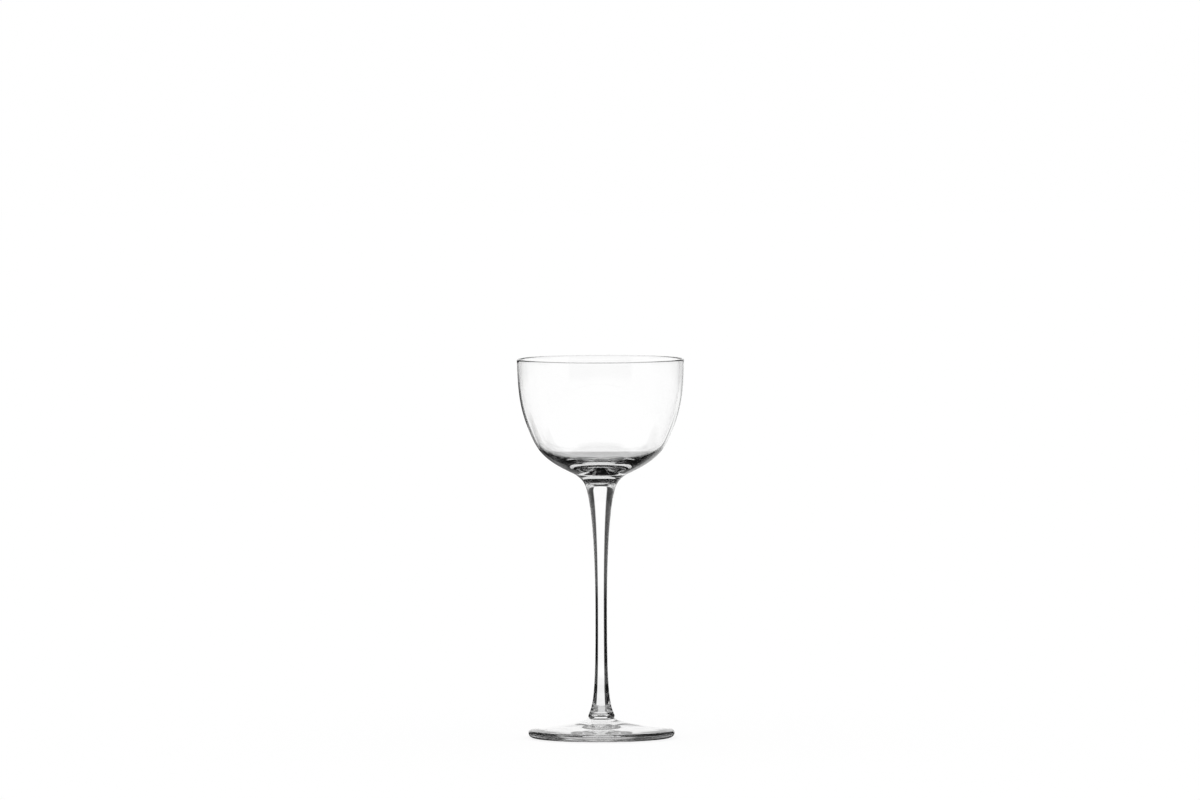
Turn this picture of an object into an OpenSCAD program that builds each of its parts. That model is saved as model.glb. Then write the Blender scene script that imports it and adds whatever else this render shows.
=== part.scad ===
// Stemmed cocktail glass: a blown bowl, a drawn stem and a round foot, stuck together hot.
// Millimetres and degrees. Z is the axis of the glass, and the foot stands on Z = 0.

/* [Bowl] */
// Diameter at the rim
bowl_d = 70.6; // [64:0.2:80]
// Height from the end of the nub to the rim
bowl_h = 52.2; // [46:0.2:64]
// Thickness of the wall at the rounded rim
rim_wall = 1.2; // [0.8:0.05:2]
// Lean of the wall under the rim, from upright
rim_lean = 2; // [0:0.5:5]
// Diameter at the belly, where the wall turns into the base
belly_d = 56.8; // [50:0.2:60]
// Height of the belly above the end of the nub
belly_h = 17.7; // [15:0.1:21]
// Steepness of the bowl at the belly, from level
belly_slope = 65; // [55:1:72]
// Thickness of the wall at the belly
belly_wall = 1.6; // [1:0.05:2.4]
// Height of the floor inside above the end of the nub
floor_h = 7.7; // [6:0.1:9]

/* [Nub under the bowl] */
// Diameter at the top of the nub, where the base turns down
nub_top_d = 22.8; // [19:0.2:27]
// Height of the nub
nub_h = 3.7; // [2.6:0.1:4.6]
// Steepness of the base at the top of the nub, from level
nub_top_slope = 25; // [16:1:34]
// Diameter of the end of the nub, which the stem is stuck to
nub_d = 14.4; // [11:0.2:17]
// Steepness of the flank at the end of the nub, from level
nub_slope = 58; // [46:1:74]

/* [Stem] */
// Length from the hub of the foot to the nub of the bowl
stem_len = 99.4; // [70:0.2:130]
// Diameter at the waist, where the stem is slimmest
waist_d = 4.9; // [3.8:0.1:7]
// Height of the waist above the hub
waist_h = 44; // [30:0.5:55]
// Diameter at the top of the pad that the stem stands on
pad_d = 10.5; // [8.6:0.1:12]
// Height of the pad
pad_h = 1.8; // [1.2:0.1:2.8]
// Steepness of the flank at the top of the pad, from level
pad_slope = 65; // [56:1:76]
// Diameter of the flat end of the stem
stem_end_d = 10; // [8:0.1:10.2]

/* [Foot] */
// Diameter of the foot
foot_d = 61.6; // [54:0.2:72]
// Diameter of the hub, which the stem is stuck to
hub_d = 10.4; // [10.4:0.1:13]
// Height of the hub
hub_h = 8.4; // [7.4:0.1:11]
// Steepness of the hub at its edge, from level
hub_slope = 40; // [28:1:52]
// Thickness of the foot at its edge
edge_h = 3.2; // [2.4:0.1:4]
// Steepness of the foot at its edge, from level
edge_slope = 8; // [4:1:12]
// Width of the rounding on the upper side of the edge
edge_round_w = 0.7; // [0.4:0.1:1.4]
// Height of the widest place of the edge
edge_wide_h = 2; // [1.4:0.1:2.2]
// Width of the rounding on the under side of the edge
under_round_w = 2.7; // [2:0.1:4.4]
// Width of the flat ring that the foot stands on
rest_w = 2; // [1.2:0.1:3]
// Height of the hollow under the foot
hollow_h = 1.4; // [0.6:0.1:2.2]

/* [Hidden] */
$fn = 120;

// Straight pieces in one bend, and in the half round of the rim
bend_steps = 20;
rim_steps = 10;

// Pulls of each bend at its start and end, as shares of the bend's own height or width
wall_pull_shares = [0.4, 0.44];
base_pull_shares = [0.45, 0.48];
nub_pull_shares = [0.4, 0.4];
cup_pull_shares = [0.42, 0.42];
upper_stem_pull_shares = [0.43, 0.12];
lower_stem_pull_shares = [0.12, 0.7];
foot_pull_shares = [0.13, 0.36];
hollow_pull_shares = [0.35, 0.4];
round_pull_shares = [0.6, 0.6];

bowl_r = bowl_d / 2;
belly = [belly_d / 2, belly_h];
cup_belly = toward(belly, belly_wall, belly_slope + 90);
nub_top = [nub_top_d / 2, nub_h];
nub_end = [nub_d / 2, 0];
rim_r = rim_wall / 2;
rim_h = bowl_h - rim_r;
waist = [waist_d / 2, waist_h];
pad_top = [pad_d / 2, pad_h];
stem_top = [nub_d / 2, stem_len];
foot_r = foot_d / 2;
hub_edge = [hub_d / 2, hub_h];
foot_edge = [foot_r - edge_round_w, edge_h];
foot_wide = [foot_r, edge_wide_h];
rest_outer = [foot_r - under_round_w, 0];
rest_inner = [rest_outer.x - rest_w, 0];

// The point at a distance and a direction from another
function toward(from, distance, angle) = from + distance * [cos(angle), sin(angle)];

// Points of a cubic bend with these four controls, without its last point
function bend(start, pull_start, pull_end, end) =
    [for (step = [0 : bend_steps - 1])
        let (t = step / bend_steps, u = 1 - t)
        u * u * u * start + 3 * t * u * u * pull_start + 3 * t * t * u * pull_end + t * t * t * end];

// Points of a bend that leaves and lands at given angles, with pulls that are shares of a reach
function turn(start, start_angle, end, end_angle, reach, shares) =
    bend(start, toward(start, reach * shares[0], start_angle),
        toward(end, -reach * shares[1], end_angle), end);

// Points of a rounding between two points, drawn out to the corner between them
function rounding(start, corner, end) =
    bend(start, start + round_pull_shares[0] * (corner - start),
        end + round_pull_shares[1] * (corner - end), end);

// Outer side of the bowl, from the end of the nub up to the rim
function bowl_outside() =
    let (rim = [bowl_r, rim_h])
    concat(
        turn(nub_end, nub_slope, nub_top, nub_top_slope, nub_h, nub_pull_shares),
        turn(nub_top, nub_top_slope, belly, belly_slope, belly.x - nub_top.x, base_pull_shares),
        turn(belly, belly_slope, rim, 90 - rim_lean, rim_h - belly_h, wall_pull_shares));

// Half round of the rim, from the outer side over to the inner side
function bowl_rim() =
    [for (step = [0 : rim_steps - 1])
        toward([bowl_r - rim_r, rim_h], rim_r, 180 * step / rim_steps)];

// Inner side of the bowl, from the rim down to the middle of the floor
function bowl_inside() =
    let (rim = [bowl_r - rim_wall, rim_h], floor_middle = [0, floor_h])
    concat(
        turn(rim, -90 - rim_lean, cup_belly, belly_slope - 180, rim_h - cup_belly.y,
            [wall_pull_shares[1], wall_pull_shares[0]]),
        turn(cup_belly, belly_slope - 180, floor_middle, -180, cup_belly.x, cup_pull_shares),
        [floor_middle]);

module bowl() {
    color("lightcyan")
    translate([0, 0, hub_h + stem_len])
    rotate_extrude()
    polygon(concat([[0, 0]], bowl_outside(), bowl_rim(), bowl_inside()));
}

// Side of the stem, from its flat end up to the nub of the bowl
function stem_side() =
    let (stem_end = [stem_end_d / 2, 0], pad_corner = [pad_top.x + pad_h / tan(pad_slope), 0])
    concat(
        rounding(stem_end, pad_corner, pad_top),
        turn(pad_top, 180 - pad_slope, waist, 90, waist_h - pad_h, lower_stem_pull_shares),
        turn(waist, 90, stem_top, nub_slope, stem_len - waist_h, upper_stem_pull_shares),
        [stem_top]);

module stem() {
    color("paleturquoise")
    translate([0, 0, hub_h])
    rotate_extrude()
    polygon(concat([[0, 0]], stem_side(), [[0, stem_len]]));
}

// Top of the foot, from the hub out to the edge and round it to the ring that it stands on
function foot_top() =
    let (top_corner = [foot_r, edge_h - edge_round_w * tan(edge_slope)], under_corner = [foot_r, 0])
    concat(
        turn(hub_edge, -hub_slope, foot_edge, -edge_slope, foot_edge.x - hub_edge.x, foot_pull_shares),
        rounding(foot_edge, top_corner, foot_wide),
        rounding(foot_wide, under_corner, rest_outer),
        [rest_outer]);

// Hollow under the foot, from the ring that it stands on to the middle
function foot_hollow() =
    let (middle = [0, hollow_h], slope = atan(hollow_h / rest_inner.x))
    concat(
        turn(rest_inner, 180 - slope, middle, 180, rest_inner.x, hollow_pull_shares),
        [middle]);

module foot() {
    color("powderblue")
    rotate_extrude()
    polygon(concat([[0, hub_h]], foot_top(), foot_hollow()));
}

bowl();
stem();
foot();
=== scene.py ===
import math

import bpy
from mathutils import Matrix, Vector


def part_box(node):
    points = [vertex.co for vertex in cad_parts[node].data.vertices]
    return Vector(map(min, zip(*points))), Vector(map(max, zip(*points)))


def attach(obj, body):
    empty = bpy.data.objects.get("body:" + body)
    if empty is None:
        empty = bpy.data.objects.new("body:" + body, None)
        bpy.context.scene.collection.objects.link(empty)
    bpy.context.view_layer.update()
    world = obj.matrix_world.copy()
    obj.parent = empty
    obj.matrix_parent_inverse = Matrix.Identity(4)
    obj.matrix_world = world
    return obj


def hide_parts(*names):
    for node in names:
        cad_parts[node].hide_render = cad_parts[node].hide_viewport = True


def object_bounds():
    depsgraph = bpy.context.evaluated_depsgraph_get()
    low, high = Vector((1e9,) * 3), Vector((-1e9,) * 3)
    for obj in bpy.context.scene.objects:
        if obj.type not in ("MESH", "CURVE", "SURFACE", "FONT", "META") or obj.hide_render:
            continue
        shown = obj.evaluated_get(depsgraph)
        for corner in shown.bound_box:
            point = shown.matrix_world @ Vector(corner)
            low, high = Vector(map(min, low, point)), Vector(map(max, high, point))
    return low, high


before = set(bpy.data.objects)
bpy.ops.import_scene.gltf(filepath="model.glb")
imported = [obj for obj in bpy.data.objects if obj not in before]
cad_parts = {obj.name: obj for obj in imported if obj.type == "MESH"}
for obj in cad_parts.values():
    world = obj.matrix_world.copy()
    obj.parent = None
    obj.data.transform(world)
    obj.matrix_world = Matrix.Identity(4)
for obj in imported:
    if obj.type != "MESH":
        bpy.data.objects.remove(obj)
cad_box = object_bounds()
scene = bpy.context.scene
scene.view_settings.view_transform = "Standard"

MM = 0.001


# Small helpers

def linear(hex_colour):
    """An sRGB hex colour as linear red, green, blue and alpha."""
    parts = [int(hex_colour[place:place + 2], 16) / 255 for place in (1, 3, 5)]
    return [c / 12.92 if c <= 0.04045 else ((c + 0.055) / 1.055) ** 2.4 for c in parts] + [1]


def add_node(tree, kind, settings=None, values=None, links=None):
    """Adds a node with its settings and input values, and links its inputs to other nodes' outputs."""
    node = tree.nodes.new(kind)
    for name, value in (settings or {}).items():
        setattr(node, name, value)
    for socket, value in (values or {}).items():
        node.inputs[socket].default_value = value
    for socket, source in (links or {}).items():
        tree.links.new(source, node.inputs[socket])
    return node


# Camera, from the middles of the rim and the foot in the photograph

PHOTO_W, PHOTO_H = 1200, 800
RIM_CENTRE_PX = (600.46, 358.8)
FOOT_CENTRE_PX = (601.6, 737.4)
CAMERA_DISTANCE = 6.5
RIM_VIEW_ANGLE = 2.65
SENSOR_W = 36
CLIP_NEAR, CLIP_FAR = 0.5, 40


def place_camera():
    """Looks from a little above the rim, with the rim and the foot where the photograph has them."""
    rim_down = math.radians(RIM_VIEW_ANGLE)
    camera_z = cad_box[1].z + CAMERA_DISTANCE * math.tan(rim_down)
    foot_down = math.atan2(camera_z, CAMERA_DISTANCE)
    rim_x, foot_x = RIM_CENTRE_PX[0] - PHOTO_W / 2, FOOT_CENTRE_PX[0] - PHOTO_W / 2
    rim_y, foot_y = RIM_CENTRE_PX[1] - PHOTO_H / 2, FOOT_CENTRE_PX[1] - PHOTO_H / 2
    focal_px = (foot_y - rim_y) / (foot_down - rim_down)
    pitch = rim_down - math.atan2(rim_y, focal_px)
    roll = math.atan2(foot_x - rim_x, foot_y - rim_y)
    aside = (rim_x + foot_x) / 2 - (rim_y + foot_y) / 2 * math.tan(roll)
    data = bpy.data.cameras.new("camera")
    data.sensor_width = SENSOR_W
    data.lens = focal_px / PHOTO_W * SENSOR_W
    data.clip_start, data.clip_end = CLIP_NEAR, CLIP_FAR
    camera = bpy.data.objects.new("camera", data)
    scene.collection.objects.link(camera)
    turned = (Matrix.Rotation(math.atan2(aside, focal_px), 4, "Z")
              @ Matrix.Rotation(math.pi / 2 - pitch, 4, "X")
              @ Matrix.Rotation(-roll, 4, "Z"))
    camera.matrix_world = Matrix.Translation((0, -CAMERA_DISTANCE, camera_z)) @ turned
    scene.camera = camera


place_camera()


# Outline of the glass, in millimetres and degrees, as the solids have it

BEND_STEPS = 40
RIM_STEPS = 24
BOWL_D = 2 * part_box("bowl")[1].x / MM
NUB_END_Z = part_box("bowl")[0].z / MM
RIM_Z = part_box("bowl")[1].z / MM
HUB_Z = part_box("stem")[0].z / MM
FOOT_D = 2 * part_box("foot")[1].x / MM
RIM_WALL = 1.2
RIM_LEAN = 2
BELLY_D = 56.8
BELLY_H = 17.7
BELLY_SLOPE = 65
BELLY_WALL = 1.6
FLOOR_H = 7.7
NUB_TOP_D = 22.8
NUB_H = 3.7
NUB_TOP_SLOPE = 25
NUB_D = 14.4
NUB_SLOPE = 58
WAIST_D = 4.9
WAIST_H = 44
PAD_D = 10.5
PAD_H = 1.8
PAD_SLOPE = 65
STEM_END_D = 10
HUB_D = 10.4
HUB_SLOPE = 40
EDGE_H = 3.2
EDGE_SLOPE = 8
EDGE_ROUND_W = 0.7
EDGE_WIDE_H = 2
UNDER_ROUND_W = 2.7
REST_W = 2
HOLLOW_H = 1.4
# Pulls of each bend at its start and end, as shares of the bend's own height or width
WALL_PULL_SHARES = (0.4, 0.44)
BASE_PULL_SHARES = (0.45, 0.48)
NUB_PULL_SHARES = (0.4, 0.4)
CUP_PULL_SHARES = (0.42, 0.42)
UPPER_STEM_PULL_SHARES = (0.43, 0.12)
LOWER_STEM_PULL_SHARES = (0.12, 0.7)
FOOT_PULL_SHARES = (0.13, 0.36)
HOLLOW_PULL_SHARES = (0.35, 0.4)
ROUND_PULL_SHARE = 0.6


def toward(start, distance, angle):
    """The point at a distance and a direction from another."""
    return Vector(start) + distance * Vector((math.cos(math.radians(angle)), math.sin(math.radians(angle))))


def bend(start, pull_start, pull_end, end):
    """Points of a cubic bend with these four controls, without its last point."""
    points = []
    for step in range(BEND_STEPS):
        t = step / BEND_STEPS
        u = 1 - t
        points.append(u ** 3 * Vector(start) + 3 * t * u * u * Vector(pull_start)
                      + 3 * t * t * u * Vector(pull_end) + t ** 3 * Vector(end))
    return points


def turn(start, start_angle, end, end_angle, reach, shares):
    """Points of a bend that leaves and lands at given angles, with pulls that are shares of a reach."""
    return bend(start, toward(start, reach * shares[0], start_angle),
                toward(end, -reach * shares[1], end_angle), end)


def rounding(start, corner, end):
    """Points of a rounding between two points, drawn out to the corner between them."""
    start, corner, end = Vector(start), Vector(corner), Vector(end)
    return bend(start, start.lerp(corner, ROUND_PULL_SHARE), end.lerp(corner, ROUND_PULL_SHARE), end)


def bowl_outline():
    """The bowl from the middle of the nub's end, up the outside, over the rim and down to the floor."""
    rim_r = RIM_WALL / 2
    rim_h = RIM_Z - NUB_END_Z - rim_r
    nub_end, nub_top = (NUB_D / 2, 0), (NUB_TOP_D / 2, NUB_H)
    belly = (BELLY_D / 2, BELLY_H)
    cup_belly = toward(belly, BELLY_WALL, BELLY_SLOPE + 90)
    outer_rim, inner_rim = (BOWL_D / 2, rim_h), (BOWL_D / 2 - RIM_WALL, rim_h)
    floor_middle = (0, FLOOR_H)
    outside = (turn(nub_end, NUB_SLOPE, nub_top, NUB_TOP_SLOPE, NUB_H, NUB_PULL_SHARES)
               + turn(nub_top, NUB_TOP_SLOPE, belly, BELLY_SLOPE, belly[0] - nub_top[0], BASE_PULL_SHARES)
               + turn(belly, BELLY_SLOPE, outer_rim, 90 - RIM_LEAN, rim_h - BELLY_H, WALL_PULL_SHARES))
    rim = [toward((BOWL_D / 2 - rim_r, rim_h), rim_r, 180 * step / RIM_STEPS) for step in range(RIM_STEPS)]
    inside = (turn(inner_rim, -90 - RIM_LEAN, cup_belly, BELLY_SLOPE - 180, rim_h - cup_belly.y,
                   WALL_PULL_SHARES[::-1])
              + turn(cup_belly, BELLY_SLOPE - 180, floor_middle, -180, cup_belly.x, CUP_PULL_SHARES)
              + [Vector(floor_middle)])
    return [Vector((0, 0))] + outside + rim + inside


def stem_outline():
    """The stem from the middle of its flat end, up the side to the middle of its top."""
    stem_len = NUB_END_Z - HUB_Z
    stem_end, pad_top = (STEM_END_D / 2, 0), (PAD_D / 2, PAD_H)
    pad_corner = (PAD_D / 2 + PAD_H / math.tan(math.radians(PAD_SLOPE)), 0)
    waist, stem_top = (WAIST_D / 2, WAIST_H), (NUB_D / 2, stem_len)
    return ([Vector((0, 0))] + rounding(stem_end, pad_corner, pad_top)
            + turn(pad_top, 180 - PAD_SLOPE, waist, 90, WAIST_H - PAD_H, LOWER_STEM_PULL_SHARES)
            + turn(waist, 90, stem_top, NUB_SLOPE, stem_len - WAIST_H, UPPER_STEM_PULL_SHARES)
            + [Vector(stem_top), Vector((0, stem_len))])


def foot_outline():
    """The foot from the middle of its hollow, out under the edge and back up over it to the hub."""
    foot_r = FOOT_D / 2
    hub_edge = (HUB_D / 2, HUB_Z)
    foot_edge, foot_wide = (foot_r - EDGE_ROUND_W, EDGE_H), (foot_r, EDGE_WIDE_H)
    top_corner = (foot_r, EDGE_H - EDGE_ROUND_W * math.tan(math.radians(EDGE_SLOPE)))
    rest_outer = (foot_r - UNDER_ROUND_W, 0)
    rest_inner = (rest_outer[0] - REST_W, 0)
    hollow_slope = math.degrees(math.atan2(HOLLOW_H, rest_inner[0]))
    top_w = foot_edge[0] - hub_edge[0]
    from_hub = ([Vector((0, HUB_Z)), Vector((STEM_END_D / 2, HUB_Z))]
                + turn(hub_edge, -HUB_SLOPE, foot_edge, -EDGE_SLOPE, top_w, FOOT_PULL_SHARES)
                + rounding(foot_edge, top_corner, foot_wide)
                + rounding(foot_wide, (foot_r, 0), rest_outer)
                + [Vector(rest_outer)]
                + turn(rest_inner, 180 - hollow_slope, (0, HOLLOW_H), 180, rest_inner[0], HOLLOW_PULL_SHARES)
                + [Vector((0, HOLLOW_H))])
    return from_hub[::-1]


# Glass

GLASS_INDEX = 1.5
WAVE_HEIGHT = 0.015


def make_polished_glass(name, index):
    """Colourless glass of this index, fire polished, so that it is sharp in what it shows and reflects."""
    material = bpy.data.materials.new(name)
    material.use_nodes = True
    shader = material.node_tree.nodes["Principled BSDF"]
    shader.inputs["Base Color"].default_value = linear("#ffffff")
    shader.inputs["Roughness"].default_value = 0
    shader.inputs["IOR"].default_value = index
    shader.inputs["Transmission Weight"].default_value = 1
    return material


def make_clear_glass(name, wave_across, wave_along):
    """Clear soda-lime glass with faint waves from the hot work, which bend what is seen through it a little.

    The waves are given in millimetres, across the piece and along its axis.
    """
    material = make_polished_glass(name, GLASS_INDEX)
    tree = material.node_tree
    place = add_node(tree, "ShaderNodeTexCoord").outputs["Object"]
    across, along = 1 / (wave_across * MM), 1 / (wave_along * MM)
    stretched = add_node(tree, "ShaderNodeMapping", values={"Scale": (across, across, along)}, links={
        "Vector": place})
    waves = add_node(tree, "ShaderNodeTexNoise", values={"Scale": 1, "Detail": 1}, links={
        "Vector": stretched.outputs["Vector"]})
    wavy = add_node(tree, "ShaderNodeBump", values={"Distance": WAVE_HEIGHT * MM}, links={
        "Height": waves.outputs["Fac"]})
    tree.links.new(wavy.outputs["Normal"], tree.nodes["Principled BSDF"].inputs["Normal"])
    return material


# The blown bowl has broad waves, the drawn stem has them pulled long, and the spun foot has them even
blown_glass = make_clear_glass("blown clear glass", wave_across=16, wave_along=24)
drawn_glass = make_clear_glass("drawn clear glass", wave_across=4, wave_along=40)
spun_glass = make_clear_glass("spun clear glass", wave_across=13, wave_along=13)
# Glass fused to glass: the index doesn't change across the joint, so the eye sees no surface there
fused_joint = make_polished_glass("fused joint in glass", 1)


# Turning an outline into a round piece

STEPS_AROUND = 256
SHARP_ANGLE = 30
WELD_DISTANCE = 0.0001
SEAT_TOLERANCE = 0.001
FULLY_FUSED = 0.99


def make_turning_tree():
    """Turns an outline, held as a chain of points in the XZ plane, once round Z into a closed skin."""
    tree = bpy.data.node_groups.new("turned glass", "GeometryNodeTree")
    tree.is_modifier = True
    for name, kind in (("Outline", "NodeSocketGeometry"), ("Steps around", "NodeSocketInt"),
                       ("Glass", "NodeSocketMaterial"), ("Joint", "NodeSocketMaterial")):
        tree.interface.new_socket(name, in_out="INPUT", socket_type=kind)
    tree.interface.new_socket("Skin", in_out="OUTPUT", socket_type="NodeSocketGeometry")
    given = add_node(tree, "NodeGroupInput").outputs
    size = add_node(tree, "GeometryNodeAttributeDomainSize", links={"Geometry": given["Outline"]})
    across = add_node(tree, "ShaderNodeMath", {"operation": "ADD"}, {1: 1}, {0: given["Steps around"]})
    grid = add_node(tree, "GeometryNodeMeshGrid", links={
        "Vertices X": size.outputs["Point Count"], "Vertices Y": across.outputs[0]})
    index = add_node(tree, "GeometryNodeInputIndex")
    place = add_node(tree, "ShaderNodeMath", {"operation": "DIVIDE"}, links={
        0: index.outputs[0], 1: across.outputs[0]})
    row = add_node(tree, "ShaderNodeMath", {"operation": "FLOOR"}, links={0: place.outputs[0]})
    step = add_node(tree, "ShaderNodeMath", {"operation": "MODULO"}, links={
        0: index.outputs[0], 1: across.outputs[0]})
    part = add_node(tree, "ShaderNodeMath", {"operation": "DIVIDE"}, links={
        0: step.outputs[0], 1: given["Steps around"]})
    angle = add_node(tree, "ShaderNodeMath", {"operation": "MULTIPLY"}, {1: -2 * math.pi}, {
        0: part.outputs[0]})
    position = add_node(tree, "GeometryNodeInputPosition")
    point = add_node(tree, "GeometryNodeSampleIndex", {"data_type": "FLOAT_VECTOR"}, links={
        "Geometry": given["Outline"], "Value": position.outputs[0], "Index": row.outputs[0]})
    turned = add_node(tree, "ShaderNodeVectorRotate", {"rotation_type": "Z_AXIS"}, links={
        "Vector": point.outputs[0], "Angle": angle.outputs[0]})
    fused = add_node(tree, "GeometryNodeInputNamedAttribute", {"data_type": "FLOAT"}, {"Name": "fused"})
    fused_here = add_node(tree, "GeometryNodeSampleIndex", {"data_type": "FLOAT"}, links={
        "Geometry": given["Outline"], "Value": fused.outputs["Attribute"], "Index": row.outputs[0]})
    marked = add_node(tree, "GeometryNodeStoreNamedAttribute", {"data_type": "FLOAT", "domain": "POINT"},
                      {"Name": "fused"}, {"Geometry": grid.outputs["Mesh"], "Value": fused_here.outputs[0]})
    shaped = add_node(tree, "GeometryNodeSetPosition", links={
        "Geometry": marked.outputs[0], "Position": turned.outputs[0]})
    closed = add_node(tree, "GeometryNodeMergeByDistance", values={"Distance": WELD_DISTANCE * MM}, links={
        "Geometry": shaped.outputs[0]})
    smooth = add_node(tree, "GeometryNodeSetShadeSmooth", {"domain": "FACE"}, links={
        "Geometry": closed.outputs[0]})
    edge_angle = add_node(tree, "GeometryNodeInputMeshEdgeAngle")
    sharp = add_node(tree, "FunctionNodeCompare", {"data_type": "FLOAT", "operation": "GREATER_THAN"},
                     {1: math.radians(SHARP_ANGLE)}, {0: edge_angle.outputs["Unsigned Angle"]})
    creased = add_node(tree, "GeometryNodeSetShadeSmooth", {"domain": "EDGE"}, {"Shade Smooth": False}, {
        "Geometry": smooth.outputs[0], "Selection": sharp.outputs[0]})
    real = add_node(tree, "GeometryNodeRealizeInstances", links={"Geometry": creased.outputs[0]})
    glazed = add_node(tree, "GeometryNodeSetMaterial", links={
        "Geometry": real.outputs[0], "Material": given["Glass"]})
    seat = add_node(tree, "FunctionNodeCompare", {"data_type": "FLOAT", "operation": "GREATER_THAN"},
                    {1: FULLY_FUSED}, {0: fused.outputs["Attribute"]})
    joined = add_node(tree, "GeometryNodeSetMaterial", links={
        "Geometry": glazed.outputs[0], "Selection": seat.outputs[0], "Material": given["Joint"]})
    add_node(tree, "NodeGroupOutput", links={"Skin": joined.outputs[0]})
    return tree


turning_tree = make_turning_tree()


def turn_piece(name, node, glass, outline, base_z, fused_heights, fused_r):
    """Makes one round glass piece from its outline and puts it in the place of its CAD node."""
    chain = bpy.data.meshes.new(name + " outline")
    points = [Vector((point.x, 0, point.y + base_z)) * MM for point in outline]
    chain.from_pydata(points, [(n, n + 1) for n in range(len(points) - 1)], [])
    fused = chain.attributes.new("fused", "FLOAT", "POINT")
    for n, point in enumerate(outline):
        level = any(abs(point.y - height) < SEAT_TOLERANCE for height in fused_heights)
        fused.data[n].value = float(level and point.x < fused_r + SEAT_TOLERANCE)
    source = bpy.data.objects.new(name + " outline", chain)
    scene.collection.objects.link(source)
    modifier = source.modifiers.new("turned glass", "NODES")
    modifier.node_group = turning_tree
    inputs = {"Steps around": STEPS_AROUND, "Glass": glass, "Joint": fused_joint}
    for item in turning_tree.interface.items_tree:
        if item.in_out == "INPUT" and item.name in inputs:
            modifier[item.identifier] = inputs[item.name]
    skin = bpy.data.meshes.new_from_object(source.evaluated_get(bpy.context.evaluated_depsgraph_get()))
    bpy.data.objects.remove(source)
    piece = bpy.data.objects.new(name, skin)
    scene.collection.objects.link(piece)
    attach(piece, "root")
    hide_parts(node)


turn_piece("blown_bowl", "bowl", blown_glass, bowl_outline(), NUB_END_Z, (0,), NUB_D / 2)
turn_piece("drawn_stem", "stem", drawn_glass, stem_outline(), HUB_Z, (0, NUB_END_Z - HUB_Z), NUB_D / 2)
turn_piece("round_foot", "foot", spun_glass, foot_outline(), 0, (HUB_Z,), STEM_END_D / 2)


# Floor and studio

FLOOR_SIDE = 12
FLOOR_DROP = 0.2
FLOOR_COLOUR = "#7c7c7c"
FLOOR_GLOW = 0.8
# Level of the dark room round the glass, and of the painted shade on the floor near the foot
DARK_ROOM_AND_PAINTED_SHADE = 0.008
# Limits between counts of a ray's passed surfaces, and between counts of its reflections
ANY_SURFACE, TWO_WALLS = 0.5, 3.5
ONCE, MORE, OFTEN = 0.5, 1.5, 4.5
# Seen through one wall, the floor under the foot is white, and through two it has painted shade, dark
# outside a wedge behind the stem
UNDER_FOOT_R = 34
WEDGE_SLOPE = 0.32
# Seen in the glass's own reflections, a ring of floor round the foot is painted dark as the foot's shadow:
# painted shade
FOOT_SHADE_R = 45
FOOT_SHADE_HALF_W = 17
# Clear glass shows only what is round it: white fields give its bright middle, and the dark room between
# them its dark edges. Each kind of ray has its own fields. A field has its repeats round the room, then in
# degrees its azimuth from the far side, half width, lowest and highest elevation, and last its level.
FIELD_SOFTNESS = 2
WHITE_FIELDS = {
    # Through one wall or solid piece: the stem's bright middle, and the bowl's far wall from above
    "straight": (
        (4, 2, 20, -8, 30, 1), (1, 4, 20, -40, 20, 0.9), (4, 0, 20, -95, -30, 0.9), (4, 45, 25, -95, -25, 1),
        (1, 135, 25, -25, 30, 1), (1, -90, 15, -95, -5, 1), (1, -45, 10, -30, -20, 1),
        (1, 180, 10, -32, -5, 1), (1, -135, 10, -32, -5, 1)),
    # Through two walls or more: the clear sides of the bowl, and its floor from above
    "through walls": (
        (1, 0, 190, -18, 95, 1), (1, 0, 15, -95, -10, 0.6), (1, 185, 140, -30, -10, 1),
        (1, -50, 20, -95, -32, 0.8), (1, 150, 60, -95, -20, 1)),
    # Reflected once inside: the bright line over the stem, and the faint sheen of the bowl
    "reflected once": (
        (1, 5, 30, -4, 75, 0.9), (1, 50, 25, -35, 5, 1), (2, 90, 45, -60, 65, 1), (1, 180, 50, -60, -10, 1),
        (1, 180, 50, 0, 65, 1), (1, -45, 25, -16, 30, 1), (1, 40, 30, -12, 15, 1)),
    # Reflected two to four times: the arcs in the base, and the light middle of the foot's edge
    "reflected more": (
        (1, 5, 25, -45, 60, 0.9), (1, 0, 45, -30, -15, 0.8), (1, 120, 25, -95, 5, 0.6),
        (1, -125, 20, -95, 5, 0.6), (1, 180, 45, 25, 60, 0.9), (1, -90, 40, -30, 5, 0.4),
        (1, 165, 15, -20, 25, 0.6)),
    # Reflected more often: the light top of the foot, and beside the fields the dark crescent of the base
    "reflected often": (
        (1, 0, 44, -50, 25, 0.9), (1, 120, 25, -95, -15, 0.7), (1, 120, 25, 15, 60, 0.6),
        (1, -125, 20, -95, -15, 0.7), (1, -125, 20, 15, 60, 0.6), (1, 170, 20, -50, -20, 0.4)),
    # Mirrored on the outside: the light top of the foot, and the underside of the bowl
    "mirrored": (
        (1, 5, 10, -10, 50, 1), (1, 0, 20, 0, 50, 1), (1, 60, 55, -28, -5, 0.9), (1, -70, 40, -30, -5, 1),
        (1, 180, 75, -95, 20, 1), (1, 180, 100, -60, -25, 1), (1, 10, 30, -35, -15, 0.3),
        (1, -90, 20, 5, 45, 1), (1, 135, 15, 15, 45, 1)),
}


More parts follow.
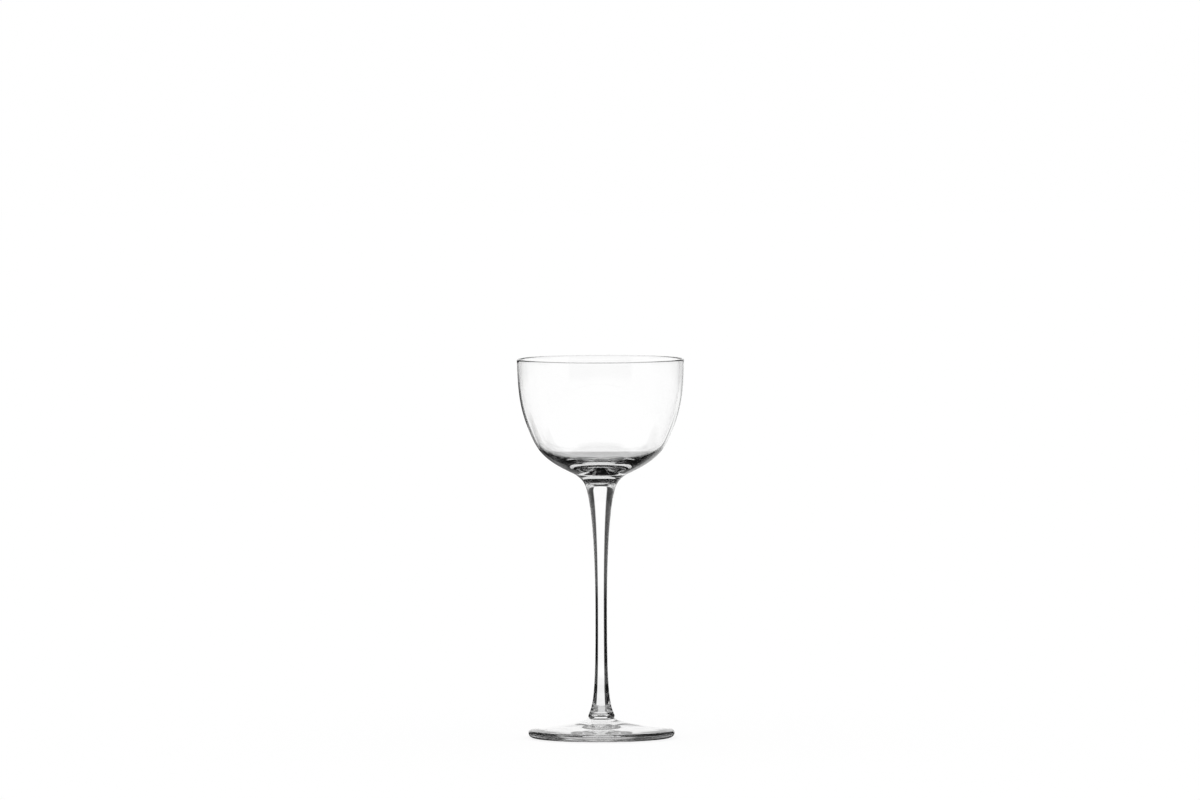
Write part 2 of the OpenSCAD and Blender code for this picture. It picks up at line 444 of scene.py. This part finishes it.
def make_floor():
    """Pale floor that shows white to the camera and keeps the shadow of the glass; near the foot, the
    glass's rays see it painted white or dark with painted shade.
    """
    mesh = bpy.data.meshes.new("floor")
    half = FLOOR_SIDE / 2
    mesh.from_pydata([(-half, -half, 0), (half, -half, 0), (half, half, 0), (-half, half, 0)], [],
                     [(0, 1, 2, 3)])
    floor = bpy.data.objects.new("floor", mesh)
    scene.collection.objects.link(floor)
    floor.location.z = -FLOOR_DROP * MM
    material = bpy.data.materials.new("pale floor")
    material.use_nodes = True
    tree = material.node_tree
    tree.nodes.clear()
    path = add_node(tree, "ShaderNodeLightPath").outputs
    matt = add_node(tree, "ShaderNodeBsdfDiffuse", values={"Color": linear(FLOOR_COLOUR)})
    glow = add_node(tree, "ShaderNodeEmission", values={"Color": linear("#ffffff"), "Strength": FLOOR_GLOW})
    pale = add_node(tree, "ShaderNodeAddShader", links={0: matt.outputs[0], 1: glow.outputs[0]})
    one_wall = add_node(tree, "ShaderNodeMath", {"operation": "LESS_THAN"}, {1: TWO_WALLS}, {
        0: path["Transmission Depth"]})
    unreflected = add_node(tree, "ShaderNodeMath", {"operation": "LESS_THAN"}, {1: ONCE}, {
        0: path["Glossy Depth"]})
    direct = add_node(tree, "ShaderNodeMath", {"operation": "MULTIPLY"}, links={
        0: one_wall.outputs[0], 1: unreflected.outputs[0]})
    place = add_node(tree, "ShaderNodeTexCoord").outputs["Object"]
    radius = add_node(tree, "ShaderNodeVectorMath", {"operation": "LENGTH"}, links={0: place})
    under = add_node(tree, "ShaderNodeMath", {"operation": "LESS_THAN"}, {1: UNDER_FOOT_R * MM}, {
        0: radius.outputs["Value"]})
    # Painted shadow: the ring round the foot that the glass's reflections see dark
    beside = add_node(tree, "ShaderNodeMath", {"operation": "COMPARE"},
                      {1: FOOT_SHADE_R * MM, 2: FOOT_SHADE_HALF_W * MM}, {0: radius.outputs["Value"]})
    xyz = add_node(tree, "ShaderNodeSeparateXYZ", links={0: place}).outputs
    aside = add_node(tree, "ShaderNodeMath", {"operation": "ABSOLUTE"}, links={0: xyz["X"]})
    # Painted shade under the foot, for rays through two walls: dark outside a wedge behind the stem
    wedge = add_node(tree, "ShaderNodeMath", {"operation": "MULTIPLY"}, {1: WEDGE_SLOPE}, {0: xyz["Y"]})
    off_wedge = add_node(tree, "ShaderNodeMath", {"operation": "GREATER_THAN"}, links={
        0: aside.outputs[0], 1: wedge.outputs[0]})
    kept = add_node(tree, "ShaderNodeMath", {"operation": "MAXIMUM"}, links={
        0: direct.outputs[0], 1: off_wedge.outputs[0]})
    painted_under_foot = add_node(tree, "ShaderNodeMath", {"operation": "MULTIPLY"}, links={
        0: under.outputs[0], 1: kept.outputs[0]})
    # Where the glass's rays see painted floor: under the foot, or in the ring of painted shadow beside it
    painted_zone = add_node(tree, "ShaderNodeMix", {"data_type": "FLOAT"}, links={
        "Factor": unreflected.outputs[0], "A": beside.outputs[0], "B": painted_under_foot.outputs[0]})
    # White for rays through one wall, else the dark level of painted shade
    light = add_node(tree, "ShaderNodeMapRange", values={"To Min": DARK_ROOM_AND_PAINTED_SHADE, "To Max": 1}, links={
        "Value": direct.outputs[0]})
    painted_near_floor = add_node(tree, "ShaderNodeEmission", values={"Color": linear("#ffffff")}, links={
        "Strength": light.outputs[0]})
    clear = add_node(tree, "ShaderNodeBsdfTransparent")
    in_glass = add_node(tree, "ShaderNodeMixShader", links={
        0: painted_zone.outputs[0], 1: clear.outputs[0], 2: painted_near_floor.outputs[0]})
    through = add_node(tree, "ShaderNodeMath", {"operation": "MAXIMUM"}, links={
        0: path["Is Transmission Ray"], 1: path["Is Glossy Ray"]})
    seen = add_node(tree, "ShaderNodeMixShader", links={
        0: through.outputs[0], 1: pale.outputs[0], 2: in_glass.outputs[0]})
    add_node(tree, "ShaderNodeOutputMaterial", links={"Surface": seen.outputs[0]})
    mesh.materials.append(material)


def add_white_field(tree, azimuth, elevation, field):
    """Adds one white field with soft edges, and gives its level in the direction that is looked at."""
    repeats, centre, half_w, low, high, white = field
    offset = add_node(tree, "ShaderNodeMath", {"operation": "SUBTRACT"}, {1: centre}, {0: azimuth})
    folded = add_node(tree, "ShaderNodeMath", {"operation": "WRAP"}, {1: 180 / repeats, 2: -180 / repeats}, {
        0: offset.outputs[0]})
    aside = add_node(tree, "ShaderNodeMath", {"operation": "ABSOLUTE"}, links={0: folded.outputs[0]})
    insides = []
    for source, edge, inward in ((aside.outputs[0], half_w, -1), (elevation, low, 1), (elevation, high, -1)):
        inside = add_node(tree, "ShaderNodeMapRange", {"interpolation_type": "SMOOTHSTEP"}, {
            "From Min": edge - inward * FIELD_SOFTNESS, "From Max": edge + inward * FIELD_SOFTNESS}, {
            "Value": source})
        insides.append(inside.outputs[0])
    level = add_node(tree, "ShaderNodeMath", {"operation": "MULTIPLY"}, {1: white}, {0: insides[0]})
    for inside in insides[1:]:
        level = add_node(tree, "ShaderNodeMath", {"operation": "MULTIPLY"}, links={
            0: level.outputs[0], 1: inside})
    return level.outputs[0]


def make_studio():
    """White all round for the camera and the floor, and for the glass a dark room with white fields."""
    world = bpy.data.worlds.new("studio")
    scene.world = world
    world.use_nodes = True
    tree = world.node_tree
    tree.nodes.clear()
    path = add_node(tree, "ShaderNodeLightPath").outputs
    direction = add_node(tree, "ShaderNodeTexCoord").outputs["Generated"]
    xyz = add_node(tree, "ShaderNodeSeparateXYZ", links={0: direction}).outputs
    turned = add_node(tree, "ShaderNodeMath", {"operation": "ARCTAN2"}, links={0: xyz["X"], 1: xyz["Y"]})
    azimuth = add_node(tree, "ShaderNodeMath", {"operation": "DEGREES"}, links={0: turned.outputs[0]})
    raised = add_node(tree, "ShaderNodeMath", {"operation": "ARCSINE"}, links={0: xyz["Z"]})
    elevation = add_node(tree, "ShaderNodeMath", {"operation": "DEGREES"}, links={0: raised.outputs[0]})
    levels = {}
    for rays, fields in WHITE_FIELDS.items():
        levels[rays] = add_white_field(tree, azimuth.outputs[0], elevation.outputs[0], fields[0])
        for field in fields[1:]:
            level = add_white_field(tree, azimuth.outputs[0], elevation.outputs[0], field)
            brightest = add_node(tree, "ShaderNodeMath", {"operation": "MAXIMUM"}, links={
                0: levels[rays], 1: level})
            levels[rays] = brightest.outputs[0]
    in_room = levels["straight"]
    for rays, depth, test, limit in (("through walls", "Transmission Depth", "GREATER_THAN", TWO_WALLS),
                                     ("reflected once", "Glossy Depth", "GREATER_THAN", ONCE),
                                     ("reflected more", "Glossy Depth", "GREATER_THAN", MORE),
                                     ("reflected often", "Glossy Depth", "GREATER_THAN", OFTEN),
                                     ("mirrored", "Transmission Depth", "LESS_THAN", ANY_SURFACE)):
        of_kind = add_node(tree, "ShaderNodeMath", {"operation": test}, {1: limit}, {0: path[depth]})
        in_room = add_node(tree, "ShaderNodeMix", {"data_type": "FLOAT"}, links={
            "Factor": of_kind.outputs[0], "A": in_room, "B": levels[rays]}).outputs[0]
    lit = add_node(tree, "ShaderNodeMath", {"operation": "MAXIMUM"}, {1: DARK_ROOM_AND_PAINTED_SHADE}, {0: in_room})
    in_glass = add_node(tree, "ShaderNodeMath", {"operation": "MAXIMUM"}, links={
        0: path["Is Transmission Ray"], 1: path["Is Glossy Ray"]})
    strength = add_node(tree, "ShaderNodeMix", {"data_type": "FLOAT"}, {"A": 1}, {
        "Factor": in_glass.outputs[0], "B": lit.outputs[0]})
    background = add_node(tree, "ShaderNodeBackground", values={"Color": linear("#ffffff")}, links={
        "Strength": strength.outputs[0]})
    add_node(tree, "ShaderNodeOutputWorld", links={"Surface": background.outputs[0]})


make_floor()
make_studio()


# Bounces for light that is reflected many times inside the thick base and foot

BOUNCES = 32
cycles = scene.cycles
cycles.max_bounces = BOUNCES
cycles.transmission_bounces = BOUNCES
cycles.glossy_bounces = BOUNCES
cycles.transparent_max_bounces = BOUNCES
